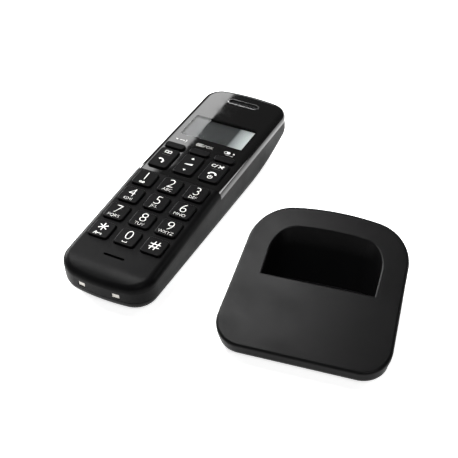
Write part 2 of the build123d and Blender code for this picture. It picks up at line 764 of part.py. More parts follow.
# ---------------------------------------------------------------- handset: battery bay
cell_axis_x = CELL_RADIUS + CELL_GAP / 2
cell_middle = (CELL_Y + LENGTH / 2) / cos(radians(BACK_ANGLE))
cell_low = cell_middle - CELL_LENGTH / 2
cell_height = WALL + CELL_CLEAR + CELL_RADIUS
tray_width = 2 * (cell_axis_x + CELL_RADIUS + CELL_SIDE_GAP + TRAY_WALL)
tray_length = CELL_LENGTH + 2 * (CELL_NUB + BAY_END_GAP + TRAY_WALL)
tray_floor = WALL + TRAY_FOOT
tray_roof = cell_height + CELL_RADIUS + CELL_SIDE_GAP

with BuildPart() as battery_tray:
    with BuildSketch(BACK_PLANE.offset(tray_floor)):
        with Locations((0, cell_middle)):
            Rectangle(tray_width, tray_length)
    extrude(amount=tray_roof + TRAY_WALL - tray_floor)
    with BuildSketch(BACK_PLANE.offset(tray_floor)):
        with Locations((0, cell_middle)):
            Rectangle(tray_width - 2 * TRAY_WALL, tray_length - 2 * TRAY_WALL)
    extrude(amount=tray_roof - tray_floor, mode=Mode.SUBTRACT)


def battery_cell(side):
    """An AAA cell. Its raised end points up the handset on the right and down on the left."""
    low_end = BACK_PLANE.from_local_coords(Vector(side * cell_axis_x, cell_low, cell_height))
    high_end = BACK_PLANE.from_local_coords(Vector(side * cell_axis_x, cell_low + CELL_LENGTH, cell_height))
    start = low_end if side > 0 else high_end
    cell_plane = Plane(origin=start, x_dir=(1, 0, 0), z_dir=BACK_PLANE.y_dir * side)
    with BuildPart() as cell:
        with BuildSketch(cell_plane):
            Circle(CELL_RADIUS)
        extrude(amount=CELL_LENGTH)
        fillet(cell.edges(), 0.5)
        with BuildSketch(cell_plane.offset(CELL_LENGTH)):
            Circle(CELL_NUB_RADIUS)
        extrude(amount=CELL_NUB)
    return cell


write_handset(battery_cell(-1), "battery_cell_left")
write_handset(battery_cell(1), "battery_cell_right")

with BuildPart() as battery_contacts:
    with BuildSketch(BACK_PLANE.offset(WALL + PLATE_FOOT)):
        with Locations((0, cell_middle)):
            with GridLocations(2 * cell_axis_x, tray_length - 2 * TRAY_WALL - PLATE, 2, 2):
                Rectangle(PLATE_SIZE, PLATE)
    extrude(amount=PLATE_SIZE)

# ---------------------------------------------------------------- base: covers


def pocket_profile(grow=0):
    """Section of the cradle pocket: straight in front, rounded and bowed behind."""
    half = POCKET_HALF + grow
    shoulder = POCKET_DEPTH - POCKET_BOW + grow
    with BuildSketch() as profile:
        with BuildLine():
            Polyline((-half, shoulder), (-half, -grow), (half, -grow), (half, shoulder))
            ThreePointArc((half, shoulder), (0, shoulder + POCKET_BOW), (-half, shoulder))
        make_face()
        fillet(profile.vertices().group_by(Axis.Y)[-1], POCKET_CORNER + grow)
    return profile.sketch


with BuildPart() as cover_hollow:
    add(base_envelope(FOOT_HEIGHT, COVER_HOLLOW_INSET))
    split(bisect_by=SLOPE_PLANE.offset(-PLATE_THICK), keep=Keep.BOTTOM)

with BuildPart() as base_top_cover:
    add(base_form)
    split(bisect_by=SLOPE_PLANE.offset(-COVER_THICK), keep=Keep.TOP)
    slope_axis = Axis(SLOPE_PLANE.origin, SLOPE_PLANE.z_dir)
    fillet(base_top_cover.edges().group_by(slope_axis)[-1], COVER_EDGE_ROUND)
    add(cover_hollow.part, mode=Mode.SUBTRACT)
    with BuildSketch(POCKET_FLOOR.offset(-POCKET_WALL)):
        add(pocket_profile(POCKET_WALL))
    extrude(amount=BASE_LOFT_TOP)
    split(bisect_by=SLOPE_PLANE, keep=Keep.BOTTOM)
    with BuildSketch(POCKET_FLOOR):
        add(pocket_profile())
    extrude(amount=BASE_LOFT_TOP, mode=Mode.SUBTRACT)
    sloping_top = base_top_cover.faces().sort_by(slope_axis)[-1]
    fillet(sloping_top.inner_wires()[0].edges(), POCKET_LIP_ROUND)
    with BuildSketch(POCKET_FLOOR.offset(-POCKET_WALL)):
        with Locations((0, PIN_DEPTH)):
            with GridLocations(2 * CONTACT_X, 1, 2, 1):
                Rectangle(PIN_WIDTH + 2 * PIN_GAP, PIN_THICK + 2 * PIN_GAP)
    extrude(amount=POCKET_WALL, mode=Mode.SUBTRACT)

with BuildPart() as cover_tongue:
    add(base_envelope(FOOT_HEIGHT, TONGUE_INSET))
    split(bisect_by=SLOPE_PLANE.offset(-COVER_THICK), keep=Keep.BOTTOM)
    split(bisect_by=SLOPE_PLANE.offset(-COVER_THICK - COVER_GAP - TONGUE_HEIGHT), keep=Keep.TOP)

with BuildPart() as base_lower_cover:
    add(base_envelope(FOOT_HEIGHT, COVER_OVERHANG))
    split(bisect_by=SLOPE_PLANE.offset(-COVER_THICK - COVER_GAP), keep=Keep.BOTTOM)
    fillet(base_lower_cover.edges().group_by(Axis.Z)[0], BASE_BOTTOM_ROUND)
    add(cover_tongue.part)
    add(base_envelope(FOOT_HEIGHT + BASE_WALL, COVER_OVERHANG + BASE_WALL), mode=Mode.SUBTRACT)
    with BuildSketch(Plane.XY.offset(FOOT_HEIGHT + BASE_WALL / 2)):
        with Locations(*BASE_SCREW_PLACES):
            Circle(BASE_BOSS_RADIUS)
    extrude(amount=BASE_BOSS_TOP - FOOT_HEIGHT - BASE_WALL / 2)
    with BuildSketch():
        with Locations(*BASE_SCREW_PLACES):
            Circle(BASE_SCREW_BORE)
    extrude(amount=BASE_SCREW_HEAD_Z, mode=Mode.SUBTRACT)
    with BuildSketch():
        with Locations(*BASE_SCREW_PLACES):
            Circle(BASE_SCREW_RADIUS)
    extrude(amount=BASE_BOSS_TOP + 1, mode=Mode.SUBTRACT)
    with BuildSketch(Plane.XZ.offset(-SOCKET_CUT_Y)):
        with Locations((SOCKET_X, (SOCKET_LOW_Z + SOCKET_HIGH_Z) / 2)):
            Rectangle(SOCKET_WIDTH, SOCKET_HIGH_Z - SOCKET_LOW_Z)
        with Locations((INLET_X, (INLET_LOW_Z + INLET_HIGH_Z) / 2)):
            Rectangle(INLET_WIDTH, INLET_HIGH_Z - INLET_LOW_Z)
        with Locations((0, PAGE_Z)):
            Circle(PAGE_RADIUS + PAGE_GAP)
    extrude(amount=-BASE_BACK_Y, mode=Mode.SUBTRACT)

base_screws = screw_group(BASE_SCREW_PLACES, BASE_SCREW_HEAD_Z, BASE_SCREW_RADIUS, BASE_SCREW_LENGTH)

# ---------------------------------------------------------------- base: inside
with BuildPart() as base_board:
    with BuildSketch(Plane.XY.offset(BASE_BOSS_TOP)):
        with Locations((0, BASE_BOARD_Y)):
            RectangleRounded(BASE_BOARD_WIDTH, BASE_BOARD_DEPTH, 1.5)
        with Locations(*BASE_SCREW_PLACES[:2]):
            Circle(BASE_SCREW_RADIUS, mode=Mode.SUBTRACT)
    extrude(amount=BASE_BOARD_THICK)

with BuildPart() as base_shield:
    with BuildSketch(Plane.XY.offset(BASE_BOSS_TOP + BASE_BOARD_THICK)):
        with Locations((0, BASE_SHIELD_Y)):
            RectangleRounded(BASE_SHIELD_WIDTH, BASE_SHIELD_DEPTH, 1)
    extrude(amount=BASE_SHIELD_HEIGHT)
    offset(amount=-SHEET_METAL, openings=base_shield.faces().sort_by(Axis.Z)[0])

pin_flange_top = -POCKET_WALL - PIN_GAP


def charge_pin(side):
    """A sprung charging pin with a rounded tip, held under the pocket floor by its flange."""
    with BuildPart() as pin:
        with BuildSketch(POCKET_FLOOR.offset(PIN_ROOT)):
            with Locations((side * CONTACT_X, PIN_DEPTH)):
                Rectangle(PIN_WIDTH, PIN_THICK)
        extrude(amount=PIN_REACH - PIN_ROOT)
        pocket_axis = Axis(POCKET_FLOOR.origin, POCKET_FLOOR.z_dir)
        fillet(pin.edges().group_by(pocket_axis)[-1], PIN_TIP_ROUND)
        with BuildSketch(POCKET_FLOOR.offset(PIN_ROOT)):
            with Locations((side * CONTACT_X, PIN_DEPTH)):
                Rectangle(PIN_WIDTH + 2 * PIN_FLANGE, PIN_THICK)
        extrude(amount=pin_flange_top - PIN_ROOT)
    return pin


write_base(charge_pin(-1), "charge_pin_left")
write_base(charge_pin(1), "charge_pin_right")

spring_top = PIN_ROOT - PIN_TRAVEL - PIN_GAP - 0.1
with BuildPart() as charge_springs:
    with BuildSketch(POCKET_FLOOR.offset(spring_top - PLATE)):
        with Locations((0, PIN_DEPTH - SPRING_MIDDLE)):
            with GridLocations(2 * CONTACT_X, 1, 2, 1):
                Rectangle(PIN_WIDTH, SPRING_LENGTH)
    extrude(amount=PLATE)

with BuildPart() as line_socket:
    with BuildSketch(Plane.XZ.offset(-SOCKET_FRONT_Y)):
        with Locations((SOCKET_X, (SOCKET_LOW_Z + SOCKET_HIGH_Z) / 2)):
            Rectangle(SOCKET_WIDTH, SOCKET_HIGH_Z - SOCKET_LOW_Z)
    extrude(amount=SOCKET_FRONT_Y - SOCKET_BACK_Y)
    with BuildSketch(Plane.XZ.offset(-SOCKET_FRONT_Y - JACK_WALL)):
        with Locations((SOCKET_X, (SOCKET_LOW_Z + SOCKET_HIGH_Z) / 2)):
            Rectangle(SOCKET_WIDTH - 2 * JACK_WALL, SOCKET_HIGH_Z - SOCKET_LOW_Z - 2 * JACK_WALL)
    extrude(amount=-BASE_BACK_Y, mode=Mode.SUBTRACT)

with BuildPart() as power_inlet:
    with BuildSketch(Plane.XZ.offset(-SOCKET_FRONT_Y)):
        with Locations((INLET_X, (INLET_LOW_Z + INLET_HIGH_Z) / 2)):
            Rectangle(INLET_WIDTH, INLET_HIGH_Z - INLET_LOW_Z)
    extrude(amount=SOCKET_FRONT_Y - SOCKET_BACK_Y)
    with BuildSketch(Plane.XZ.offset(-SOCKET_BACK_Y)):
        with Locations((INLET_X, (INLET_LOW_Z + INLET_HIGH_Z) / 2)):
            Circle(INLET_BORE)
            Circle(INLET_PIN, mode=Mode.SUBTRACT)
    extrude(amount=INLET_DEPTH, mode=Mode.SUBTRACT)

with BuildPart() as page_button:
    with BuildSketch(Plane.XZ.offset(-PAGE_FRONT_Y)):
        with Locations((0, PAGE_Z)):
            Circle(PAGE_RADIUS)
    extrude(amount=PAGE_FRONT_Y - PAGE_BACK_Y)
    fillet(page_button.edges().group_by(Axis.Y)[-1], PAGE_ROUND)

with BuildPart() as page_switch:
    with BuildSketch(Plane.XZ.offset(-SWITCH_FRONT_Y)):
        with Locations((0, PAGE_Z)):
            Rectangle(SWITCH_SIZE, SWITCH_SIZE)
    extrude(amount=-SWITCH_DEPTH)

with BuildPart() as rubber_feet:
    with BuildSketch():
        with Locations(*FOOT_PLACES):
            RectangleRounded(FOOT_LENGTH, FOOT_WIDTH, FOOT_CORNER)
    extrude(amount=FOOT_HEIGHT)


# ---------------------------------------------------------------- writing
handset_pieces = {
    "front_cover_lower": front_cover_lower,
    "front_cover_upper": front_cover_upper,
    "lens_panel": lens_panel,
    "display_window": display_window,
    "lcd_glass": lcd_glass,
    "backlight": backlight,
    "earpiece_rim": earpiece_rim,
    "earpiece_grille": earpiece_grille,
    "earpiece_speaker": earpiece_speaker,
    "keypad_mat": keypad_mat,
    "keypad_board": keypad_board,
    "dome_switches": dome_switches,
    "microphone": microphone,
    "radio_board": radio_board,
    "radio_shield": radio_shield,
    "ringer_speaker": ringer_speaker,
    "rear_cover": rear_cover,
    "battery_cover": battery_cover,
    "battery_tray": battery_tray,
    "battery_contacts": battery_contacts,
    "handset_charge_contacts": handset_charge_contacts,
    "handset_screws": handset_screws,
}
base_pieces = {
    "base_top_cover": base_top_cover,
    "base_lower_cover": base_lower_cover,
    "base_board": base_board,
    "base_shield": base_shield,
    "charge_springs": charge_springs,
    "line_socket": line_socket,
    "power_inlet": power_inlet,
    "page_button": page_button,
    "page_switch": page_switch,
    "rubber_feet": rubber_feet,
    "base_screws": base_screws,
}
for name, piece in handset_pieces.items():
    write_handset(piece, name)
for name, piece in base_pieces.items():
    write_base(piece, name)
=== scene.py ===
import json
from math import atan2, cos, pi, radians, sin

import bmesh
import bpy
from mathutils import Matrix, Vector


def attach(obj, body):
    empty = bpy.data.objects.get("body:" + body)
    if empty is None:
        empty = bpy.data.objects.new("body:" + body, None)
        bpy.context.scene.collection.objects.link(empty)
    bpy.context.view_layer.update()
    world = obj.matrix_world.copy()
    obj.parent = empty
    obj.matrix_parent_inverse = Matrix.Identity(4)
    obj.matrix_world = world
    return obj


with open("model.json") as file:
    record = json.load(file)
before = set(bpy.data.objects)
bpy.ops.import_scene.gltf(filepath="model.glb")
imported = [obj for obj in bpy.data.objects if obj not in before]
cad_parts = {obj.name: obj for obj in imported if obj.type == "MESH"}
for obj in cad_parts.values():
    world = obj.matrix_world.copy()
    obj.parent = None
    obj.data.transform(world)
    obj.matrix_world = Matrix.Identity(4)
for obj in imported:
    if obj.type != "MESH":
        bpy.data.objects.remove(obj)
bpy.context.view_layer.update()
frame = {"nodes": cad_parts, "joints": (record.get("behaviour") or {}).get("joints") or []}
nodes = frame["nodes"]
joints = {joint["name"]: joint for joint in frame["joints"]}
MM = 0.001

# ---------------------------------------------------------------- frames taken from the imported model
# The handset's own frame: across to the right, along towards the earpiece, out of the keypad.
across = Vector(joints["talk_key_rock"]["axis"]).normalized()
out_low = -Vector(joints["key_5_press"]["axis"]).normalized()
along_low = out_low.cross(across)
out_high = -Vector(joints["soft_key_middle_press"]["axis"]).normalized()
along_high = out_high.cross(across)
heading = atan2(across.y, across.x)


def span(node, axis):
    """Least and greatest distance of a CAD node's points along an axis."""
    reach = [vertex.co.dot(axis) for vertex in nodes[node].data.vertices]
    return min(reach), max(reach)


def middle(node, axis):
    low, high = span(node, axis)
    return (low + high) / 2


def top_point(node, out, along):
    """Middle of a node's outward face."""
    point = across * middle(node, across) + along * middle(node, along)
    return point + out * span(node, out)[1]


# ---------------------------------------------------------------- material helpers


def new_material(name, color, roughness, **settings):
    """A Principled material with plain values on its own sockets."""
    material = bpy.data.materials.new(name)
    material.use_nodes = True
    shader = material.node_tree.nodes["Principled BSDF"]
    shader.inputs["Base Color"].default_value = (*color, 1)
    shader.inputs["Roughness"].default_value = roughness
    for socket, value in settings.items():
        shader.inputs[socket.replace("_", " ")].default_value = value
    return material


def add_node(material, kind, **values):
    """A node of a kind, with its named inputs or properties set."""
    node = material.node_tree.nodes.new(kind)
    for key, value in values.items():
        if key in node.inputs:
            node.inputs[key].default_value = value
        else:
            setattr(node, key, value)
    return node


def link(material, source, sink):
    material.node_tree.links.new(source, sink)


def shader_of(material):
    return material.node_tree.nodes["Principled BSDF"]


def object_coordinates(material):
    return add_node(material, "ShaderNodeTexCoord").outputs["Object"]


def noise(material, scale, detail=3, roughness=0.55):
    texture = add_node(material, "ShaderNodeTexNoise", Scale=scale, Detail=detail, Roughness=roughness)
    link(material, object_coordinates(material), texture.inputs["Vector"])
    return texture.outputs["Fac"]


def remap(material, source, low, high, start=0.3, stop=0.7):
    """Spreads a texture's middle range over low to high."""
    spread = add_node(material, "ShaderNodeMapRange")
    spread.inputs["From Min"].default_value = start
    spread.inputs["From Max"].default_value = stop
    spread.inputs["To Min"].default_value = low
    spread.inputs["To Max"].default_value = high
    link(material, source, spread.inputs["Value"])
    return spread.outputs["Result"]


def add_bump(material, source, strength, distance):
    bump = add_node(material, "ShaderNodeBump", Strength=strength, Distance=distance)
    link(material, source, bump.inputs["Height"])
    shader = shader_of(material)
    if shader.inputs["Normal"].links:
        link(material, shader.inputs["Normal"].links[0].from_socket, bump.inputs["Normal"])
    link(material, bump.outputs["Normal"], shader.inputs["Normal"])


def tint(material, source, dark, light, start=0.35, stop=0.65):
    """Colour that drifts between two shades with a texture."""
    ramp = add_node(material, "ShaderNodeValToRGB")
    ramp.color_ramp.elements[0].position = start
    ramp.color_ramp.elements[0].color = (*dark, 1)
    ramp.color_ramp.elements[1].position = stop
    ramp.color_ramp.elements[1].color = (*light, 1)
    link(material, source, ramp.inputs["Fac"])
    link(material, ramp.outputs["Color"], shader_of(material).inputs["Base Color"])


def moulded(name, shade, roughness, grain, depth, specular=0.08):
    """Moulded black plastic with a spark-eroded grain and a slightly uneven sheen."""
    material = new_material(name, (shade, shade, shade * 1.05), roughness, Specular_IOR_Level=specular)
    sheen = noise(material, 60, 4)
    uneven = remap(material, sheen, roughness - 0.05, roughness + 0.06)
    link(material, uneven, shader_of(material).inputs["Roughness"])
    cloud = noise(material, 25, 3)
    dark = (shade * 0.85, shade * 0.85, shade * 0.9)
    tint(material, cloud, dark, (shade * 1.15, shade * 1.15, shade * 1.2))
    add_bump(material, noise(material, grain, 2, 0.7), 0.35, depth)
    add_bump(material, noise(material, grain / 9, 2), 0.12, depth * 2)
    return material


def glossy(name, shade, roughness=0.04, specular=0.45):
    """Polished black plastic with faint handling haze and a little moulding ripple."""
    material = new_material(name, (shade, shade, shade), roughness, Specular_IOR_Level=specular)
    haze = noise(material, 90, 6, 0.7)
    hazy = remap(material, haze, roughness * 0.7, roughness * 2.2, 0.45, 0.75)
    link(material, hazy, shader_of(material).inputs["Roughness"])
    add_bump(material, noise(material, 35, 1), 0.05, 0.0002)
    return material


def metal(name, color, roughness, grain=2500):
    """Bare metal with fine uneven brushing."""
    material = new_material(name, color, roughness, Metallic=1.0)
    brushed = remap(material, noise(material, grain, 3), roughness * 0.7, roughness * 1.5)
    link(material, brushed, shader_of(material).inputs["Roughness"])
    add_bump(material, noise(material, grain, 2), 0.2, 0.00002)
    return material


# ---------------------------------------------------------------- materials
handset_matte = moulded("handset_matte_black", 0.003, 0.36, 2600, 0.00004, 0.03)
rear_matte = moulded("rear_matte_black", 0.004, 0.42, 2300, 0.00005, 0.05)
base_matte = moulded("base_satin_black", 0.003, 0.34, 2600, 0.00004, 0.07)
key_rubber = moulded("key_soft_black", 0.003, 0.32, 3200, 0.00003, 0.03)
foot_rubber = moulded("foot_rubber_black", 0.012, 0.75, 1500, 0.00008)
inner_black = moulded("inner_black", 0.006, 0.5, 1800, 0.00004)
gloss_black = glossy("gloss_black", 0.004)
lens_black = glossy("lens_black", 0.003, 0.03)
rim_black = glossy("rim_polished_black", 0.03, 0.12, 1.0)
button_grey = moulded("button_dark_grey", 0.02, 0.45, 2600, 0.00004)
nickel = metal("contact_nickel", (0.3, 0.29, 0.27), 0.3)
steel = metal("screw_steel", (0.5, 0.5, 0.5), 0.35)
tin = metal("shield_tin", (0.62, 0.62, 0.6), 0.3, 1200)
silicone = moulded("keypad_silicone", 0.25, 0.6, 1800, 0.00004)


def make_window():
    """Clear acrylic over the display."""
    clear = {"IOR": 1.25, "Transmission_Weight": 1.0}
    material = new_material("display_window_clear", (0.8, 0.82, 0.82), 0.03, **clear)
    haze = noise(material, 90, 6, 0.7)
    hazy = remap(material, haze, 0.01, 0.05, 0.45, 0.75)
    link(material, hazy, shader_of(material).inputs["Roughness"])
    return material


# Where the painted reflection on the display runs, in millimetres right of its middle.
PAINTED_REFLECTION_START = 8
PAINTED_REFLECTION_STOP = 17.5


def make_lcd():
    """Unlit display: dark grey, with a faint fine bump and a painted reflection, a paler strip at its right
    edge.
    """
    material = new_material("lcd_unlit", (0.05, 0.052, 0.052), 0.35, Specular_IOR_Level=0.12)
    place = add_node(material, "ShaderNodeVectorMath", operation="DOT_PRODUCT")
    place.inputs[1].default_value = across
    link(material, object_coordinates(material), place.inputs[0])
    lcd_middle = middle("lcd_glass", across)
    # Painted reflection: the base colour brightens from dark grey to pale across a strip near the display's
    # right edge.
    strip = add_node(material, "ShaderNodeMapRange")
    strip.inputs["From Min"].default_value = lcd_middle + PAINTED_REFLECTION_START * MM
    strip.inputs["From Max"].default_value = lcd_middle + PAINTED_REFLECTION_STOP * MM
    link(material, place.outputs["Value"], strip.inputs["Value"])
    ramp = add_node(material, "ShaderNodeValToRGB")
    ramp.color_ramp.elements[0].color = (0.03, 0.031, 0.032, 1)
    ramp.color_ramp.elements[1].color = (0.8, 0.82, 0.82, 1)
    edge = ramp.color_ramp.elements.new(0.15)
    edge.color = (0.3, 0.31, 0.31, 1)
    link(material, strip.outputs["Result"], ramp.inputs["Fac"])
    link(material, ramp.outputs["Color"], shader_of(material).inputs["Base Color"])
    add_bump(material, noise(material, 1500, 2), 0.05, 0.00002)
    return material


def make_board():
    """Green solder resist with copper tracks under it."""
    material = new_material("board_green", (0.012, 0.11, 0.045), 0.35)
    tracks = add_node(material, "ShaderNodeTexVoronoi", feature="DISTANCE_TO_EDGE", Scale=450.0)
    link(material, object_coordinates(material), tracks.inputs["Vector"])
    tint(material, tracks.outputs["Distance"], (0.02, 0.17, 0.07), (0.01, 0.09, 0.035), 0.08, 0.14)
    add_bump(material, tracks.outputs["Distance"], 0.15, 0.00003)
    return material


def make_cell_wrap():
    """Printed wrap of a rechargeable cell: mottled green."""
    material = new_material("cell_wrap", (0.3, 0.5, 0.2), 0.3)
    tint(material, noise(material, 40, 2), (0.16, 0.42, 0.16), (0.2, 0.48, 0.2))
    return material


def make_print():
    """Off-white pad print, a little uneven."""
    material = new_material("key_print", (0.74, 0.74, 0.72), 0.5)
    tint(material, noise(material, 2500, 3), (0.66, 0.66, 0.64), (0.78, 0.78, 0.76))
    return material


print_white = make_print()
dim_print = new_material("lens_print", (0.55, 0.55, 0.54), 0.5)
tint(dim_print, noise(dim_print, 2500, 3), (0.48, 0.48, 0.47), (0.6, 0.6, 0.58))
# Near-black, slightly uneven sheet for the rules under the key icons: painted shade of an engraved groove.
groove_shade_black = new_material("groove_shade_black", (0.003, 0.003, 0.003), 0.7)
tint(groove_shade_black, noise(groove_shade_black, 900, 2), (0.002, 0.002, 0.002), (0.004, 0.004, 0.004))

board_green = make_board()
finishes = {
    "front_cover_lower": handset_matte,
    "front_cover_upper": gloss_black,
    "lens_panel": lens_black,
    "display_window": make_window(),
    "lcd_glass": make_lcd(),
    "backlight": silicone,
    "earpiece_rim": rim_black,
    "earpiece_grille": inner_black,
    "earpiece_speaker": inner_black,
    "keypad_mat": silicone,
    "keypad_board": board_green,
    "dome_switches": tin,
    "microphone": inner_black,
    "radio_board": board_green,
    "radio_shield": tin,
    "ringer_speaker": inner_black,
    "rear_cover": rear_matte,
    "battery_cover": rear_matte,
    "battery_tray": inner_black,
    "battery_cell_left": make_cell_wrap(),
    "battery_cell_right": make_cell_wrap(),
    "battery_contacts": nickel,
    "handset_charge_contacts": nickel,
    "handset_screws": steel,
    "base_top_cover": base_matte,
    "base_lower_cover": base_matte,
    "base_board": board_green,
    "base_shield": tin,
    "charge_springs": nickel,
    "line_socket": inner_black,
    "power_inlet": inner_black,
    "page_button": button_grey,
    "page_switch": inner_black,
    "rubber_feet": foot_rubber,
    "base_screws": steel,
    "charge_pin_left": nickel,
    "charge_pin_right": nickel,
}
for name, node in nodes.items():
    finish = finishes.get(name, key_rubber)
    node.data.materials.clear()
    node.data.materials.append(finish)

# ---------------------------------------------------------------- printed legends
PRINT_LIFT = 0.03 * MM
PRINT_THICK = 0.03 * MM
# A capital's height as a share of the font size.
CAPITAL_SHARE = 0.72


class Sheet:
    """A flat drawing in millimetres that becomes thin raised print on a face."""

    def __init__(self):
        self.mesh = bmesh.new()

    def polygon(self, points):
        self.mesh.faces.new([self.mesh.verts.new((x, y, 0)) for x, y in points])

    def stroke(self, points, width, closed=False):
        """A line of even width through points, with mitred corners."""
        count = len(points)
        left, right = [], []
        for index, point in enumerate(points):
            here = Vector(point)
            before = Vector(points[index - 1]) if closed or index else here
            after = Vector(points[(index + 1) % count]) if closed or index < count - 1 else here
            arrive = (here - before).normalized() if before != here else (after - here).normalized()
            leave = (after - here).normalized() if after != here else arrive
            normal = Vector((-(arrive + leave).y, (arrive + leave).x)).normalized()
            reach = width / 2 / max(normal.dot(Vector((-arrive.y, arrive.x))), 0.4)
            left.append(self.mesh.verts.new((*(here + normal * reach), 0)))
            right.append(self.mesh.verts.new((*(here - normal * reach), 0)))
        for index in range(count if closed else count - 1):
            follow = (index + 1) % count
            self.mesh.faces.new((left[index], right[index], right[follow], left[follow]))

    def arc(self, centre, radius, start, stop, width, steps=20):
        points = []
        for index in range(steps + 1):
            angle = radians(start + (stop - start) * index / steps)
            points.append((centre[0] + radius * cos(angle), centre[1] + radius * sin(angle)))
        self.stroke(points, width)

    def ring(self, centre, radius, width, steps=28):
        turn = [2 * pi * index / steps for index in range(steps)]
        points = [(centre[0] + radius * cos(a), centre[1] + radius * sin(a)) for a in turn]
        self.stroke(points, width, closed=True)

    def text(self, words, centre, height, weight=0.0):
        """Words with a given capital height, centred on a point."""
        curve = bpy.data.curves.new("words", "FONT")
        curve.body = words
        curve.align_x = "CENTER"
        curve.size = height / CAPITAL_SHARE
        curve.offset = weight
        curve.resolution_u = 6
        writing = bpy.data.objects.new("words", curve)
        bpy.context.scene.collection.objects.link(writing)
        bpy.context.view_layer.update()
        glyphs = bpy.data.meshes.new_from_object(writing)
        bpy.data.objects.remove(writing)
        xs = [vertex.co.x for vertex in glyphs.vertices]
        ys = [vertex.co.y for vertex in glyphs.vertices]
        words_middle = Vector(((min(xs) + max(xs)) / 2, (min(ys) + max(ys)) / 2, 0))
        glyphs.transform(Matrix.Translation(Vector((*centre, 0)) - words_middle))
        self.mesh.from_mesh(glyphs)

    def lay(self, name, origin, out, along, body, slot, material):
        """Places the drawing on a face, gives it thickness and makes it ride on a body."""
        bmesh.ops.remove_doubles(self.mesh, verts=self.mesh.verts, dist=0.0005)
        bmesh.ops.recalc_face_normals(self.mesh, faces=self.mesh.faces)
        solid = bmesh.ops.extrude_face_region(self.mesh, geom=list(self.mesh.faces))
        raised = [part for part in solid["geom"] if isinstance(part, bmesh.types.BMVert)]
        bmesh.ops.translate(self.mesh, verts=raised, vec=(0, 0, PRINT_THICK / MM))
        bmesh.ops.recalc_face_normals(self.mesh, faces=self.mesh.faces)
        mesh = bpy.data.meshes.new(name)
        self.mesh.to_mesh(mesh)
        self.mesh.free()
        start = origin + out * PRINT_LIFT
        place = Matrix((
            (across.x * MM, along.x * MM, out.x * MM, start.x),
            (across.y * MM, along.y * MM, out.y * MM, start.y),
            (across.z * MM, along.z * MM, out.z * MM, start.z),
            (0, 0, 0, 1),
        ))
        mesh.transform(place)
        piece = bpy.data.objects.new(name, mesh)
        bpy.context.scene.collection.objects.link(piece)
        mesh.materials.append(material)
        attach(piece, body)
        return piece


LETTERS = {
    "2": "ABC", "3": "DEF", "4": "GHI", "5": "JKL",
    "6": "MNO", "7": "PQRS", "8": "TUV", "9": "WXYZ",
}
DIGIT_Y = 1.3
LETTER_Y = -3.35
DIGIT_HEIGHT = 6.1
LETTER_HEIGHT = 1.95
FINE = 0.28


def key_print(name, sheet, node):
    """Lays a drawing on the middle of a key of the lower field."""
    face = top_point(node, out_low, along_low)
    sheet.lay(name, face, out_low, along_low, node, "key_black", print_white)


for digit in "1234567890":
    sheet = Sheet()
    sheet.text(digit, (0, DIGIT_Y), DIGIT_HEIGHT, -0.2)
    if digit in LETTERS:
        sheet.text(LETTERS[digit], (0, LETTER_Y), LETTER_HEIGHT, -0.05)
    if digit == "1":
        for x in (-0.85, 0.85):
            sheet.ring((x, LETTER_Y), 0.5, FINE)
        sheet.stroke(((-0.85, LETTER_Y - 0.5), (0.85, LETTER_Y - 0.5)), FINE)
    if digit == "0":
        high, low = LETTER_Y + 0.25, LETTER_Y - 0.35
        sheet.stroke(((-1.1, high), (-1.1, low), (1.1, low), (1.1, high)), FINE)
    key_print(f"print_{digit}", sheet, f"key_{digit}")

star = Sheet()
for angle in (90, 30, -30):
    reach = Vector((cos(radians(angle)), sin(radians(angle)))) * 2.5
    star.stroke(((reach.x, reach.y + DIGIT_Y), (-reach.x, DIGIT_Y - reach.y)), 0.48)
star.text("A", (-1.5, LETTER_Y), LETTER_HEIGHT)
star.text("a", (1.5, LETTER_Y - 0.15), LETTER_HEIGHT * 0.75)
star.stroke(((-0.6, LETTER_Y), (0.6, LETTER_Y)), FINE)
for side in (-1, 1):
    tip = (side * 0.9, LETTER_Y)
    star.polygon((tip, (side * 0.4, LETTER_Y + 0.35), (side * 0.4, LETTER_Y - 0.35))[::side])
key_print("print_star", star, "key_star")

LEAN = 0.55
hash_mark = Sheet()
for x in (-1.05, 1.05):
    hash_mark.stroke(((x + LEAN, 2.7), (x - LEAN, -2.7)), 0.46)
for y in (-0.95, 0.95):
    hash_mark.stroke(((-2.6, y), (2.6, y)), 0.46)
key_print("print_hash", hash_mark, "key_hash")


def receiver(sheet, centre, size, turn):
    """A telephone receiver seen from the side: a bowed bar with two end pads."""
    outline = []
    for index in range(13):
        angle = radians(150 - 10 * index)
        outline.append((1.25 * cos(angle), 1.0 * sin(angle) - 0.35))
    outline += [(1.3, -0.42), (0.72, -0.42), (0.66, 0.0)]
    for index in range(9):
        angle = radians(40 + 12.5 * index)
        outline.append((0.72 * cos(angle), 0.55 * sin(angle) - 0.28))
    outline += [(-0.66, 0.0), (-0.72, -0.42), (-1.3, -0.42)]
    spin = Matrix.Rotation(radians(turn), 2)
    placed = [spin @ (Vector(point) * size) + Vector(centre) for point in outline]
    sheet.polygon(placed)


def function_print(name, sheet, node, material=print_white):
    """Lays a drawing on the middle of a two-way key."""
    face = top_point(node, out_high, along_high)
    sheet.lay(name, face, out_high, along_high, node, "key_black", material)


BOOK_Y = 4.7
RULE_Y = 2.2
RULE_WIDTH = 4.6
book = Sheet()
for side in (-1, 1):
    page = ((0, BOOK_Y - 0.85), (0, BOOK_Y + 0.75), (side * 1.1, BOOK_Y + 1.0), (side * 1.7, BOOK_Y + 0.8))
    book.stroke(page + ((side * 1.7, BOOK_Y - 0.8), (side * 1.1, BOOK_Y - 0.6)), 0.3, closed=True)
receiver(book, (0.1, -2.7), 1.75, -45)
function_print("print_talk_key", book, "talk_key")

arrows = Sheet()
arrows.polygon(((-0.85, 4.3), (0.85, 4.3), (0, 5.7)))
arrows.polygon(((-0.75, -4.4), (0, -5.6), (0.75, -4.4)))
arrows.polygon(((-2.1, -0.45), (2.1, -0.45), (2.1, 0.75), (-2.1, -0.2)))
function_print("print_navigator_key", arrows, "navigator_key")

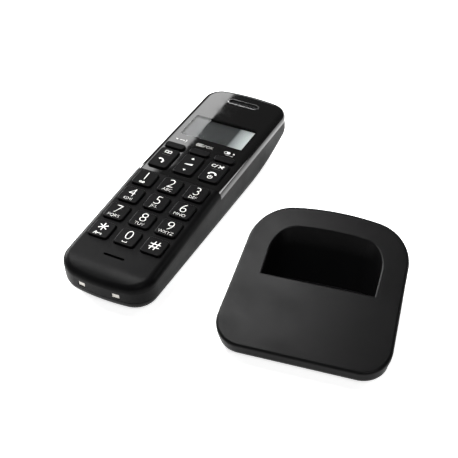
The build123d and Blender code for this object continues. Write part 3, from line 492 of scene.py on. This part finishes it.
off = Sheet()
off.text("C", (-2.6, BOOK_Y), 2.1)
off.stroke(((-1.5, BOOK_Y - 1.2), (-0.5, BOOK_Y + 1.2)), 0.3)
off.stroke(((0.4, BOOK_Y - 1.0), (2.9, BOOK_Y + 1.0)), 0.42)
off.stroke(((0.4, BOOK_Y + 1.0), (1.3, BOOK_Y + 0.3), (2.0, BOOK_Y - 0.3), (2.9, BOOK_Y - 1.0)), 0.5)
off.ring((2.6, BOOK_Y + 0.6), 0.35, 0.4, 12)
receiver(off, (0.1, -1.7), 1.9, 0)
off.arc((0.1, -4.6), 1.15, 125, 415, 0.38)
off.stroke(((0.1, -4.6), (0.1, -3.15)), 0.38)
function_print("print_off_key", off, "off_key")

# The rules under the talk and off key icons are painted groove shade, laid as thin raised print.
for node in ("talk_key", "off_key"):
    rule = Sheet()
    rule.stroke(((-RULE_WIDTH / 2, RULE_Y), (RULE_WIDTH / 2, RULE_Y)), 0.3)
    function_print(f"rule_{node}", rule, node, groove_shade_black)

LABEL_Y = 24.2 * MM
KEY_5_Y = -24.95 * MM
face_out = span("lens_panel", out_high)[1]


def on_lens(x, y):
    """A point of the lens face. The y is counted along the handset from its middle."""
    along = middle("key_5", along_low) - KEY_5_Y + y
    return across * (middle("key_5", across) + x) + along_high * along + out_high * face_out


def lens_print(name, sheet, x, y):
    sheet.lay(name, on_lens(x, y), out_high, along_high, "handset", "lens_black", dim_print)


COLUMN = middle("soft_key_right", across) - middle("soft_key_middle", across)
left = Sheet()
left.polygon(((-3.3, 0), (-2.2, 0.6), (-2.2, -0.6)))
left.stroke(((-0.9, 0), (1.4, 0)), 0.24)
left.polygon(((2.0, 0), (1.1, 0.6), (1.1, -0.6)))
left.arc((1.4, 0), 1.5, -50, 50, 0.28, 10)
lens_print("print_lens_left", left, -COLUMN, LABEL_Y)

menu = Sheet()
menu.stroke(((-5.2, -0.95), (-1.9, -0.95), (-1.9, 0.95), (-5.2, 0.95)), 0.2, closed=True)
for y in (-0.45, 0, 0.45):
    menu.stroke(((-4.7, y), (-2.4, y)), 0.16)
menu.stroke(((-1.3, -1.1), (-0.4, 1.1)), 0.22)
menu.text("OK", (2.2, 0), 2.0, -0.04)
lens_print("print_lens_middle", menu, 0, LABEL_Y)

right = Sheet()
right.ring((-2.5, 0), 0.95, 0.2)
right.polygon([(-1.2 + 0.95 * cos(turn * pi / 12), 0.95 * sin(turn * pi / 12)) for turn in range(24)])
right.polygon(((1.4, 0.6), (1.4, -0.6), (2.5, 0)))
right.stroke(((-2.2, -1.9), (2.2, -1.9)), 0.14)
lens_print("print_lens_right", right, COLUMN, LABEL_Y)

# ---------------------------------------------------------------- studio
floor_mesh = bpy.data.meshes.new("floor")
floor_build = bmesh.new()
bmesh.ops.create_grid(floor_build, x_segments=8, y_segments=8, size=4)
floor_build.to_mesh(floor_mesh)
floor_build.free()
floor = bpy.data.objects.new("floor", floor_mesh)
bpy.context.scene.collection.objects.link(floor)
glow = {"Emission_Color": (1, 1, 1, 1), "Emission_Strength": 0.75}
floor_finish = new_material("floor_white", (0.9, 0.9, 0.9), 0.9, Specular_IOR_Level=0.1, **glow)
floor_mesh.materials.append(floor_finish)

world = bpy.data.worlds.new("studio")
bpy.context.scene.world = world
world.use_nodes = True
world.node_tree.nodes["Background"].inputs["Color"].default_value = (1, 1, 1, 1)
world.node_tree.nodes["Background"].inputs["Strength"].default_value = 0.08
bpy.context.scene.view_settings.view_transform = "Standard"

# The camera looks at the middle of the set from the right of its front.
CAMERA_AZIMUTH = radians(17.8)
CAMERA_ELEVATION = radians(39)
CAMERA_DISTANCE = 0.47
CAMERA_LENS = 79.0
CAMERA_AIM = Vector((-0.0096, -0.0249, 0.02))
backward = Vector((
    sin(CAMERA_AZIMUTH) * cos(CAMERA_ELEVATION),
    -cos(CAMERA_AZIMUTH) * cos(CAMERA_ELEVATION),
    sin(CAMERA_ELEVATION),
))
camera_data = bpy.data.cameras.new("camera")
camera_data.lens = CAMERA_LENS
camera_data.sensor_width = 36
camera_data.clip_start = 0.01
camera = bpy.data.objects.new("camera", camera_data)
camera.location = CAMERA_AIM + backward * CAMERA_DISTANCE
camera.rotation_euler = backward.to_track_quat("Z", "Y").to_euler()
bpy.context.scene.collection.objects.link(camera)
bpy.context.scene.camera = camera


def softbox(name, place, aim, size, depth, power):
    """A rectangular area light that faces a point."""
    data = bpy.data.lights.new(name, "AREA")
    data.shape = "RECTANGLE"
    data.size = size
    data.size_y = depth
    data.energy = power
    lamp = bpy.data.objects.new(name, data)
    lamp.location = place
    lamp.rotation_euler = (Vector(place) - Vector(aim)).to_track_quat("Z", "Y").to_euler()
    bpy.context.scene.collection.objects.link(lamp)
    return lamp


# The strip behind on the left mirrors in the left third of the gloss panel.
PANEL_HEIGHT = 0.5
panel_point = on_lens(-9 * MM, 45 * MM)
to_camera = (camera.location - panel_point).normalized()
mirrored = 2 * to_camera.dot(out_high) * out_high - to_camera
edge_point = panel_point + mirrored * (PANEL_HEIGHT / mirrored.z)
STRIP_WIDTH = 0.16
STRIP_LENGTH = 0.8
strip_middle = edge_point - across * (STRIP_WIDTH / 2)
below = strip_middle - Vector((0, 0, 1))
strip = softbox("strip_softbox", strip_middle, below, STRIP_WIDTH, STRIP_LENGTH, 2.1)
strip.rotation_euler = (0, 0, heading)
softbox("overhead_softbox", (-0.17, 0.05, 0.42), (0.03, -0.04, 0), 0.14, 0.3, 3.2)
softbox("left_edge_strip", (-1.25, 0.75, 0.45), (0, 0, 0), 1.0, 0.3, 40)
softbox("front_softbox", (0.9, -1.6, 2.2), (0, 0, 0), 1.2, 1.0, 20)
softbox("right_edge_strip", (1.3, 0.9, 0.7), (0, 0, 0), 0.25, 1.0, 7)
